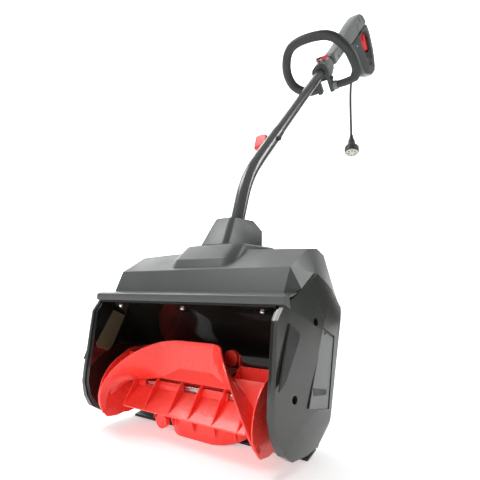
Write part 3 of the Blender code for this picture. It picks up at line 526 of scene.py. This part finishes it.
bolt = turned(pk + Vector((-0.0143, 0, 0)), Vector((1, 0, 0)), [(0, 3.0), (29.0, 3.0), (29.0, 6.6), (30.2, 6.6), (30.2, 5.6), (33.6, 5.6), (34.2, 4.6), (34.2, 3.0), (36.2, 2.6)], 6)
piece("vis_joint_bolt", bolt, "dark", "head", ("joint_bolt",), bevel=0.3, smooth=30)

# ------------------------------------------------------------------ auger
AX = at(0, AUGER_Y, AUGER_Z)


def pol(x, r, deg, off=0.0):
    a = math.radians(deg)
    return at(x, AUGER_Y + r * math.cos(a) - off * math.sin(a), AUGER_Z + r * math.sin(a) + off * math.cos(a))


def inner_r(u):
    """Inner edge of a wing, free of the hub towards the ends."""
    tab = [(0, 12.8), (112, 12.8), (120, 15.0), (128, 23.0), (135, 33.0), (143, 47.0), (150, 60.0), (157, 70.0)]
    for (u0, a0), (u1, a1) in zip(tab, tab[1:]):
        if u <= u1:
            return a0 + (a1 - a0) * (u - u0) / (u1 - u0)
    return tab[-1][1]


def wing(name, start, nodes):
    xs = [x * 157.0 / 60 for x in range(-60, 61)]
    front, back = [], []
    nr = 10
    for x in xs:
        u = abs(x)
        r0 = inner_r(u)
        slope = (sweep_angle(u + 5) - sweep_angle(max(u - 5, 0))) / (min(u + 5, 157) - max(u - 5, 0))
        slope = math.radians(slope) * (1 if x >= 0 else -1)
        w = [(-4, .1), (-2, .2), (0, .4), (2, .2), (4, .1)]
        th = math.radians(start + sum(sweep_angle(min(157, abs(u + d))) * k for d, k in w))
        fr, bk = [], []
        for k in range(nr + 1):
            r = r0 + (AUGER_R - r0) * k / nr
            rad = Vector((0, math.cos(th), math.sin(th)))
            tan = Vector((0, -math.sin(th), math.cos(th)))
            nrm = (tan - Vector((1, 0, 0)) * (r * slope)).normalized()
            t = 1.9 if k < nr else 1.2
            p = Vector((x, AUGER_Y, AUGER_Z)) + rad * r
            fr.append(at(*(p + nrm * t)))
            bk.append(at(*(p - nrm * t)))
        front.append(fr)
        back.append(bk)
    return piece(name, loft([f + list(reversed(b)) for f, b in zip(front, back)]), "red", "auger", nodes, bevel=0.7, seg=2, smooth=38, angle=40)


wing("vis_paddle_a", 90.0, ("auger_paddle_a",))
wing("vis_paddle_b", 270.0, ("auger_paddle_b",))

# hub: bar round the shaft with windows, two ribbed ledges, and a drum with a pocket at each end
hub_done = False
WINDOWS = [(-109, -76), (-20, 16), (71, 104)]
for half, (ang, flip) in enumerate(((0.0, 1), (180.0, -1))):
    tag = "ab"[half]
    # ledge plate at 218 degrees, with its end cut back where the drum stands
    plate = [pol(0, 8.0, 218 + ang, 1.6), pol(0, 54.5, 218 + ang, 1.6), pol(0, 54.5, 218 + ang, -1.6), pol(0, 8.0, 218 + ang, -1.6)]
    bm = loft([[p + Vector((x * 0.001, 0, 0)) for p in plate] for x in (-126, 126)])
    piece("vis_ledge_" + tag, bm, "red", "auger", ("auger_core",) if not hub_done else (), bevel=0.6, smooth=30)
    hub_done = True
    # sloping web above the windows, joining the paddle to the ribs
    web = [pol(0, 31.0, 90 + ang, 2.0), pol(0, 15.0, 120 + ang), pol(0, 13.2, 121 + ang), pol(0, 13.0, 100 + ang), pol(0, 29.0, 90 + ang, -1.0)]
    edges = [-126.0]
    for w0, w1 in (WINDOWS if flip > 0 else [(-b, -a) for a, b in reversed(WINDOWS)]):
        edges += [w0, w1]
    edges.append(126.0)
    piece("vis_web_" + tag, loft([[p + Vector((x * 0.001, 0, 0)) for p in web] for x in (-126, 126)]), "red", "auger", bevel=0.4, smooth=30)
    for k in range(0, len(edges), 2):
        x0, x1 = edges[k], edges[k + 1]
        low = [pol(0, 9.2, 130 + ang), pol(0, 10.0, 165 + ang), pol(0, 12.0, 205 + ang), pol(0, 7.4, 212 + ang), pol(0, 7.0, 165 + ang), pol(0, 7.2, 130 + ang)]
        piece("vis_hub_%s_%d" % (tag, k // 2), loft([[p + Vector((x * 0.001, 0, 0)) for p in low] for x in (x0, x1)]), "red", "auger", bevel=0.5, smooth=35)
    for k, rx in enumerate((-126, -76, -22, 20, 66.5, 112)):
        x = rx * flip
        rib = [pol(0, 9, 140 + ang), pol(0, 15, 120 + ang), pol(0, 17.5, 150 + ang), pol(0, 24, 185 + ang), pol(0, 53.5, 216.5 + ang), pol(0, 53.5, 217.5 + ang), pol(0, 10, 214 + ang)]
        piece("vis_rib_%s_%d" % (tag, k), loft([[p + Vector(((x + d) * 0.001, 0, 0)) for p in rib] for d in (-1.3, 1.3)]), "red", "auger", bevel=0.3, smooth=30)
    # ribs under the paddle, on the far side of the ledge
    for k, rx in enumerate((-84, -44, 0, 44, 84)):
        x = rx * flip
        rib = [pol(0, 9, 262 + ang), pol(0, 60, 266.8 + ang), pol(0, 64, 265.5 + ang), pol(0, 42, 250 + ang), pol(0, 34, 232 + ang), pol(0, 40, 220.5 + ang), pol(0, 9, 222 + ang)]
        piece("vis_gusset_%s_%d" % (tag, k), loft([[p + Vector(((x + d) * 0.001, 0, 0)) for p in rib] for d in (-1.2, 1.2)]), "red", "auger", bevel=0.3, smooth=30)
    # screw boss
    bx = 68.0 * flip
    bc = pol(bx, 57.5, 68 + ang)
    nrm = Vector((0, math.sin(math.radians(90 + ang)), -math.cos(math.radians(90 + ang)))) * flip
    piece("vis_boss_" + tag, turned(pol(bx, 57.0, 90 + ang, -1.0 * 1), Vector((0, 1, 0)) * flip, [(0, 12.5), (9, 12.5), (10, 11.4)], 28), "red", "auger", bevel=0.6, smooth=35)
for half, ang in enumerate((0.0, 180.0)):
    for sg in (-1, 1):
        tag = "ab"[half] + ("l" if sg < 0 else "r")
        # pocketed block behind the wing, its front wall running up to the wing
        xs = [97.0, 109.0, 121.0, 133.0, 143.0, 150.0, 153.4]
        if True:
            rings = []
            for xx in xs:
                lim = 90.0 + sweep_angle(xx) - 3.0
                line = [(50.6, 99), (51.0, 101.5), (22.0, 112), (20.0, 122), (44.0, 127.5), (47.6, 129), (46.0, 142), (44.5, 158), (45.0, 175), (48.0, 195), (54.0, 216)]
                rings.append([pol(sg * xx, r, min(a, lim) + ang) for r, a in line] + [pol(sg * xx, 13.0, lim + ang), pol(sg * xx, 12.6, 0.5 * (lim + 99) + ang), pol(sg * xx, 13.0, 99 + ang)])
            piece("vis_drum_" + tag, loft(rings), "red", "auger", bevel=0.5, smooth=28)
            for k, xx in enumerate((95.4, 152.0)):
                lim = 90.0 + sweep_angle(xx) - 3.0
                side = [(51.5, 99), (49.0, 114), (48.4, 129), (46.0, 142), (44.5, 158), (45.0, 175), (48.0, 195), (54.0, 217)]
                wall = [(r, min(a, lim)) for r, a in side] + [(12.0, lim), (12.0, 99)]
                piece("vis_drum_wall_%s_%d" % (tag, k), loft([[pol(sg * (xx + d), r, a + ang) for r, a in wall] for d in (0, 1.7)]), "red", "auger", bevel=0.0, smooth=30)
# end plates
prof = [(57, 83), (55.5, 100), (55, 132), (58, 145), (61.5, 157), (67, 172), (70, 182), (74, 192), (76.6, 202), (76.8, 214), (76, 226), (66, 240), (58, 252)]
ring = [(r, a) for r, a in prof] + [(r, a + 180) for r, a in prof]
for tag, sg in (("left", -1), ("right", 1)):
    bm = loft([[pol(sg * x, r, a) for r, a in ring] for x in (154.2, 156.8)])
    ob = piece("vis_end_plate_" + tag, bm, "red", "auger", ("auger_end_" + tag,), bevel=0.6, seg=2, smooth=30)
    carve(ob, rod_x(AUGER_Y, AUGER_Z, [(sg * 150, 6.3), (sg * 170, 6.3)], 24))
    piece("vis_end_hub_" + tag, ring_x(AUGER_Y, AUGER_Z, sg * 157.0, sg * 171.0, 6.2, 12.0, 28), "red", "auger", bevel=0.6, smooth=35)

# ------------------------------------------------------------------ loop handle and clamp
LOOP_S = 4.0
loop_line = [(25.4, -48), (40, -48), (65, -47), (86, -42), (97, -26), (99.5, -8), (97.5, 14), (92, 34), (81, 56), (69, 73), (56, 84.5),
             (38, 93), (13, 98), (-14, 100), (-40, 98.5), (-63, 91), (-81, 75), (-94, 52), (-100.5, 31), (-101.5, 9), (-96.5, -13),
             (-85, -29), (-70, -40), (-50, -47.6), (-25.4, -48)]
lp = smooth_path([on_tube(x, LOOP_S, n) for x, n in loop_line], 5)
fr = frames(lp, S_DIR)
total = len(fr)
rings = []
for i, (p, u, v) in enumerate(fr):
    t = i / (total - 1)
    r = 13.0
    if t < 0.115:
        r = 10.6
    elif t < 0.122:
        r = 10.6 + 2.4 * (t - 0.115) / 0.007
    if t > 0.93:
        r = 13.0 - 1.8 * (t - 0.93) / 0.07
    rings.append([p + (u * a + v * b) * 0.001 for a, b in circle(r, 28)])
piece("vis_loop_grip", loft(rings), "grip", "loop", ("loop_handle",), smooth=45)
yo = [(24.0, -61), (24.0, 2)] + [(24 * math.cos(a), 2 + 22 * math.sin(a)) for a in [math.pi * k / 20 for k in range(1, 20)]] + [(-24.0, 2), (-24.0, -61)]
yi = [(-13.2, -61), (-13.2, 0)] + [(-13.2 * math.cos(a), 13.2 * math.sin(a)) for a in [math.pi * k / 20 for k in range(1, 20)]] + [(13.2, 0), (13.2, -61)]
ypoly = yo + yi
piece("vis_yoke", loft([[on_tube(x, s, n) for x, n in ypoly] for s in (LOOP_S - 13, LOOP_S - 1)]), "dark", "loop", ("handle_yoke",), bevel=0.9, seg=2, smooth=30)
piece("vis_yoke_back", loft([[on_tube(x * 0.985, s, n * 0.985) for x, n in ypoly] for s in (LOOP_S - 0.9, LOOP_S + 9)]), "light", "loop", bevel=0.7, seg=2, smooth=30)
pb = on_tube(0, LOOP_S - 2, -24)
piece("vis_yoke_bolt", turned(pb + Vector((-0.0290, 0, 0)), Vector((1, 0, 0)), [(0, 4.6), (0.5, 5.2), (4.6, 5.3), (4.6, 3.0), (53.4, 3.0), (53.4, 5.3), (57.6, 5.2), (58.0, 4.6)], 20), "dark", "loop", ("yoke_bolt",), bevel=0.3, smooth=30)
cbo = [(17, -26), (22, -21), (24, -10), (24, 8), (20, 16), (13, 21.5), (-13, 21.5), (-20, 16), (-24, 8), (-24, -10), (-22, -21), (-17, -26)]
cl = loft([[on_tube(x * f, s, n * f) for x, n in cbo] for s, f in ((LOOP_S + 9.5, 1.0), (LOOP_S + 26, 1.0), (LOOP_S + 44, 0.88), (LOOP_S + 60, 0.82))])
clamp = piece("vis_clamp", cl, "light", "loop", ("clamp_body",), bevel=1.4, seg=3, smooth=32)
carve(clamp, pipe([on_tube(0, s, 0) for s in (-20, 100)], 12.9, None, 32))
PIN_S, PIN_N = LOOP_S + 24.0, 27.5
pp = on_tube(0, PIN_S, PIN_N)
for sx in (-1, 1):
    ear = [(PIN_S - 8, 19.0), (PIN_S + 7, 19.0), (PIN_S + 5, 29), (PIN_S + 2.5, 31.4), (PIN_S - 2.5, 31.4), (PIN_S - 5, 29)]
    piece("vis_clamp_ear_%s" % ("l" if sx < 0 else "r"), prism_tube(ear, sx * 4.8, sx * 8.4), "light", "loop", bevel=0.5, smooth=30)
# dark square window in the right leg, with a light collar below it
piece("vis_leg_window", loft([[on_tube(24.2 + d, s, n) for s, n in ((-4, -34), (9, -34), (9, -17), (-4, -17))] for d in (-1.0, 0.5)]), "slot", "loop", bevel=0.3, smooth=30)
piece("vis_leg_collar", loft([[on_tube(x, LOOP_S + c, -48 + d) for c, d in circle(r, 20)] for x, r in ((24.2, 13.4), (33.0, 13.0), (36.0, 11.4))]), "light", "loop", bevel=0.5, smooth=30)
lev = [(PIN_S - 4, 23.6), (PIN_S + 3, 22.3), (PIN_S + 30, 21.9), (PIN_S + 37, 22.6), (PIN_S + 38, 25), (PIN_S + 30, 28), (PIN_S + 6, 34), (PIN_S - 3, 34.4)]
lever = piece("vis_clamp_lever", prism_tube(lev, -13.0, 13.0), "red2", "lever", ("clamp_lever",), bevel=1.3, seg=3, smooth=35)
carve(lever, prism_tube([(PIN_S - 14, 18), (PIN_S + 10, 18), (PIN_S + 10, 32.0), (PIN_S + 5, 32.0), (PIN_S + 5, 40), (PIN_S - 14, 40)], -8.9, 8.9))

# ------------------------------------------------------------------ rear handle
top = [(96, -16), (96, 12), (104, 17), (160, 17.2), (225, 18), (262, 20), (300, 25), (350, 29), (400, 31), (444, 31), (466, 29), (486, 25), (500, 19), (512, 12), (520, 4), (525, -4), (531, -23.6),
       (392, -23.6), (300, -23.6), (262, -22), (225, -18), (104, -17)]
HW = 20.0
rings = []
for x, d in ((-HW, 6.5), (-HW + 1.6, 3.2), (-HW + 5, 0.9), (-HW + 9, 0.0), (HW - 9, 0.0), (HW - 5, 0.9), (HW - 1.6, 3.2), (HW, 6.5)):
    rings.append([on_tube(x, s, n) for s, n in inset(top, d)])
top_cover = piece("vis_top_cover", loft(rings), "light", "head", ("handle_top_cover",), bevel=0.6, seg=2, smooth=35)
carve(top_cover, pipe([on_tube(0, s, 0) for s in (60, 233)], 12.9, None, 32))
LOCK_N = -6.0
carve(top_cover, loft([[on_tube(x, s, n) for x, n in ((-6.4, LOCK_N - 7.4), (6.4, LOCK_N - 7.4), (6.4, LOCK_N + 5.4), (-6.4, LOCK_N + 5.4))] for s in (500, 560)]))
# vent slots on both flanks, drawn as dark plates of painted shade, and the neck's slot and socket
for sx in (-1, 1):
    t = "r" if sx > 0 else "l"
    for k, (s0, n0, s1, n1, w) in enumerate(((484, 18, 494, -6, 3.0), (440, 24, 450, 2, 3.2), (404, 12, 398, -18, 2.4))):
        d = Vector((s1 - s0, n1 - n0, 0)).normalized()
        o = Vector((-d.y, d.x, 0)) * w
        line = [(s0 + o.x, n0 + o.y), (s1 + o.x, n1 + o.y), (s1 - o.x, n1 - o.y), (s0 - o.x, n0 - o.y)]
        piece("vis_vent_painted_shade_%s%d" % (t, k), prism_tube(line, sx * 17.0, sx * 20.3), "slot", "head", bevel=0.5, smooth=30)
    piece("vis_neck_slot_%s" % t, prism_tube([(150, -2.0), (214, -2.4), (214, -5.0), (150, -4.4)], sx * 18, sx * 20.2), "slot", "head", bevel=0.3, smooth=30)
    piece("vis_neck_socket_%s" % t, loft([[on_tube(sx * x, 128 + a, -4 + b) for a, b in circle(5.2, 20)] for x in (18.0, 20.2)]), "slot", "head", bevel=0.3, smooth=30)
D_OUT = [(300, -24.3), (400, -24.3), (531.3, -24.3), (542, -45), (546, -68), (541, -116), (524, -155), (506, -181), (484, -193),
         (440, -189), (376, -161), (352, -142), (338, -110), (316, -62)]
D_IN = [(400, -36), (470, -34), (500, -42), (513, -66), (507, -108), (496, -136), (480, -152), (456, -156), (432, -147), (420, -120), (408, -72)]
for tag, sg in (("left", -1), ("right", 1)):
    rings = []
    for x, d in ((0.15, 0.0), (10.0, 0.0), (14.0, 0.9), (17.4, 3.0), (19.4, 5.6), (HW, 8.0)):
        rings.append([on_tube(sg * x, s, n) for s, n in inset(D_OUT, d)])
    half = piece("vis_grip_shell_" + tag, loft(rings), "dgrey", "head", ("grip_shell_" + tag,), bevel=1.6, seg=3, smooth=35, angle=32)
    carve(half, prism_tube(D_IN, sg * -3, sg * 25))
    carve(half, prism_tube([(498, -46), (536, -50), (534, -112), (500, -118), (480, -110), (480, -60)], -8.4, 8.4))
    carve(half, loft([[on_tube(x * 1.0, s, n) for x, n in [(a, -128 + b) for a, b in circle(8.4, 20)]] for s in (320, 372)]))
    for ss, nn in ((340, -44), (486, -176)):
        carve(half, loft([[on_tube(sg * x, ss, nn) + Vector((0, a * 0.001, b * 0.001)) for a, b in circle(3.4, 16)] for x in (17.0, 26.0)]))
    # dark window on the flank
    piece("vis_flank_mark_" + tag, prism_tube([(414, -25.6), (450, -25.6), (446, -32.4), (416, -32.4)], sg * 13.0, sg * 19.4), "slot", "head", bevel=0.3, smooth=30)
TRIG_S, TRIG_N = 508.0, -54.0
trig = [(504, -49), (512, -49), (517, -56), (516, -84), (509, -108), (504, -110), (497, -109), (491, -103), (488, -95), (487, -84), (489, -73), (493, -63)]
trigger = piece("vis_trigger", prism_tube(trig, -7.0, 7.0), "red2", "trigger_lever", ("trigger",), bevel=1.6, seg=3, smooth=35)
piece("vis_lock_button", loft([[on_tube(x, s, n) for x, n in ((-6 + c, LOCK_N - 7 + c), (6 - c, LOCK_N - 7 + c), (6 - c, LOCK_N + 5 - c), (-6 + c, LOCK_N + 5 - c))]
                               for s, c in ((506, 0), (529, 0), (531.4, 0.7), (532.5, 1.6))]), "red2", "lock", ("lock_button",), bevel=0.6, smooth=35)

# ------------------------------------------------------------------ cord, sleeve, plug
sl = [(369, 7.9), (345, 7.9)]
for k in range(7):
    s = 341.0 - k * 3.2
    r = 7.7 - k * 0.36
    sl += [(s, r), (s - 1.7, r), (s - 1.9, r - 0.9), (s - 3.0, r - 0.9)]
piece("vis_strain_relief", loft([[on_tube(x, s, -128 + n) for x, n in circle(r, 24)] for s, r in sl]), "rubber", "head", ("strain_relief",), smooth=30)
exit_p = Vector(TUBE_T) + S_DIR * 317.6 + N_DIR * -128
PLUG_TOP = Vector((0.0, 826.5, 527.0))
route = [exit_p, exit_p - S_DIR * 14, exit_p - S_DIR * 30, Vector((0, 849.5, 738.0)), Vector((0, 838.5, 708.0)), Vector((0, 832.0, 676.0)),
         Vector((0, 828.5, 640.0)), Vector((0, 827.0, 600.0)), Vector((0, 826.5, 562.0)), PLUG_TOP]
cpts = smooth_path([at(*p) for p in route], 6)
cu = bpy.data.curves.new("vis_cord", "CURVE")
cu.dimensions = "3D"
sp = cu.splines.new("POLY")
sp.points.add(len(cpts) - 1)
for q, p in zip(sp.points, cpts):
    q.co = (p.x, p.y, p.z, 1.0)
cu.bevel_depth = 0.004
cu.bevel_resolution = 5
cu.use_fill_caps = True
cord = bpy.data.objects.new("vis_cord", cu)
bpy.context.scene.collection.objects.link(cord)
cu.materials.append(M["cord"])
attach(cord, "head")
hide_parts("cord")

PT = at(*PLUG_TOP)
dn = Vector((0.0968, -0.276, -0.9563)).normalized()
side = dn.cross(Vector((1, 0, 0))).normalized()
other = dn.cross(side)


def in_plug(r, a, d, w=0.0):
    return PT + dn * (d * 0.001) + (side * (r * math.cos(a) - w * math.sin(a)) + other * (r * math.sin(a) + w * math.cos(a))) * 0.001


prof = [(1.8, 5.4)]
for k in range(4):
    z = 2.2 + k * 4.0
    prof += [(z, 5.5 + k * 0.5), (z + 2.4, 5.7 + k * 0.5), (z + 2.6, 4.9 + k * 0.5), (z + 3.7, 4.9 + k * 0.5)]
prof += [(18.8, 7.4), (19.8, 9.2), (21.0, 10.4), (27, 11.2), (34, 12.0), (40, 13.2), (45, 17.0), (48, 20.6), (52, 22.4), (62, 23.0), (69, 22.9), (70.5, 21.8)]
plug = piece("vis_plug", turned(PT, dn, prof, 40), "dark", "head", ("plug_body",), smooth=32)
for k in range(12):
    a = 2 * math.pi * k / 12
    piece("vis_plug_rib_%d" % k, loft([[in_plug(22.6 + u, a, d, v) for u, v in ((-1.2, -1.2), (0.9, -0.9), (0.9, 0.9), (-1.2, 1.2))] for d in (52.5, 68)]), "dark", "head", smooth=30)
face = piece("vis_plug_face", turned(PT, dn, [(70.8, 20.9), (72.4, 20.8), (73.3, 20.0)], 40), "ivory", "head", ("plug_face",), bevel=0.3, smooth=35)
for k in range(8):
    a = 2 * math.pi * (k + 0.5) / 8
    piece("vis_plug_mark_%d" % k, loft([[in_plug(r, a, d, w) for r, w in ((8.5, -1.3), (16.5, -2.3), (16.5, 2.3), (8.5, 1.3))] for d in (72.8, 73.45)]), "slot", "head", smooth=30)

settle()

# ------------------------------------------------------------------ CAD nodes that stay: better surfaces
KEEP = {"rear_cover": "grey", "scraper_blade": "dark", "motor_body": "steel", "motor_bracket": "steel", "motor_shaft": "steel", "motor_pulley": "steel",
        "auger_pulley": "dark", "drive_belt": "rubber", "auger_bearing_left": "steel", "auger_bearing_right": "steel", "auger_shaft": "steel",
        "clamp_pin": "steel", "switch_body": "dark", "trigger_pin": "steel"}
for nm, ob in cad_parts.items():
    key = KEEP.get(nm)
    if key is None and "screw" in nm:
        key = "steel"
    if key is None:
        continue
    if ob.material_slots:
        for ms in ob.material_slots:
            ms.link = "OBJECT"
            ms.material = M[key]

# ------------------------------------------------------------------ studio
def stage_material(name, rgb, rough, emit=0.0):
    m = bpy.data.materials.new(name)
    m.use_nodes = True
    b = m.node_tree.nodes["Principled BSDF"]
    b.inputs["Base Color"].default_value = (*rgb, 1)
    b.inputs["Roughness"].default_value = rough
    if emit:
        b.inputs["Emission Color"].default_value = (*rgb, 1)
        b.inputs["Emission Strength"].default_value = emit
    return m


me = bpy.data.meshes.new("floor")
S = 14.0
me.from_pydata([(-S, -S, -0.0006), (S, -S, -0.0006), (S, S, -0.0006), (-S, S, -0.0006)], [], [(0, 1, 2, 3)])
floor = bpy.data.objects.new("floor", me)
bpy.context.scene.collection.objects.link(floor)
me.materials.append(stage_material("m_floor", (0.95, 0.95, 0.95), 0.9, 0.42))


def card(name, corners, mat):
    me = bpy.data.meshes.new(name)
    me.from_pydata(corners, [], [(0, 1, 2, 3)])
    ob = bpy.data.objects.new(name, me)
    bpy.context.scene.collection.objects.link(ob)
    me.materials.append(mat)
    return ob


card("backdrop", [(-16, 7, -0.1), (0.5, 7, -0.1), (0.5, 7, 18), (-16, 7, 18)], stage_material("m_backdrop", (1.0, 1.0, 1.0), 1.0, 1.0))
card("backdrop_side", [(-14, -2, -0.1), (-14, 7, -0.1), (-14, 7, 18), (-14, -2, 18)], stage_material("m_backdrop_side", (1.0, 1.0, 1.0), 1.0, 1.0))

world = bpy.data.worlds.new("studio")
bpy.context.scene.world = world
world.use_nodes = True
bg = world.node_tree.nodes["Background"]
bg.inputs["Color"].default_value = (1.0, 1.0, 1.0, 1)
bg.inputs["Strength"].default_value = 0.36


def area(name, loc, target, size, power, color=(1, 1, 1)):
    li = bpy.data.lights.new(name, "AREA")
    li.shape = "RECTANGLE"
    li.size, li.size_y = size
    li.energy = power
    li.color = color
    ob = bpy.data.objects.new(name, li)
    bpy.context.scene.collection.objects.link(ob)
    ob.location = loc
    ob.rotation_mode = "QUATERNION"
    ob.rotation_quaternion = (Vector(target) - Vector(loc)).to_track_quat("-Z", "Y")
    return ob


area("key", (-1.5, -1.2, 2.9), (0, -0.4, 0.25), (1.6, 1.2), 46)
area("rim", (1.7, 1.2, 1.7), (0.15, -0.3, 0.2), (0.5, 1.6), 26)
area("front", (0.1, -2.9, 1.0), (0, -0.45, 0.12), (1.8, 0.30), 20)
area("strip", (-1.1, 0.3, 1.1), (0, 0.15, 0.65), (0.10, 1.8), 3)
card("flag_back", [(1.6, 5.5, 0.0), (6.0, 0.6, 0.0), (6.0, 0.6, 5.0), (1.6, 5.5, 5.0)], stage_material("m_flag_back", (0.012, 0.012, 0.012), 0.9))
card("flag", [(0.9, -2.6, 0.0), (2.6, -1.2, 0.0), (2.6, -1.2, 2.4), (0.9, -2.6, 2.4)], stage_material("m_flag", (0.01, 0.01, 0.01), 0.9))

cd = bpy.data.cameras.new("camera")
cam = bpy.data.objects.new("camera", cd)
bpy.context.scene.collection.objects.link(cam)
cd.lens = 30.79
cd.sensor_width = 36.0
cd.dof.use_dof = False
R = Vector((0.8192, 0.5736, 0.0))
F = Vector((-0.5699, 0.8139, 0.1125)).normalized()
U = R.cross(F).normalized()
rot = Matrix((R, U, -F)).transposed()
cam.matrix_world = Matrix.Translation(at(455.2, -472.5, 23.1)) @ rot.to_4x4()
bpy.context.scene.camera = cam
sc = bpy.context.scene
sc.view_settings.view_transform = "Standard"
sc.view_settings.look = "None"
sc.view_settings.exposure = 0.0
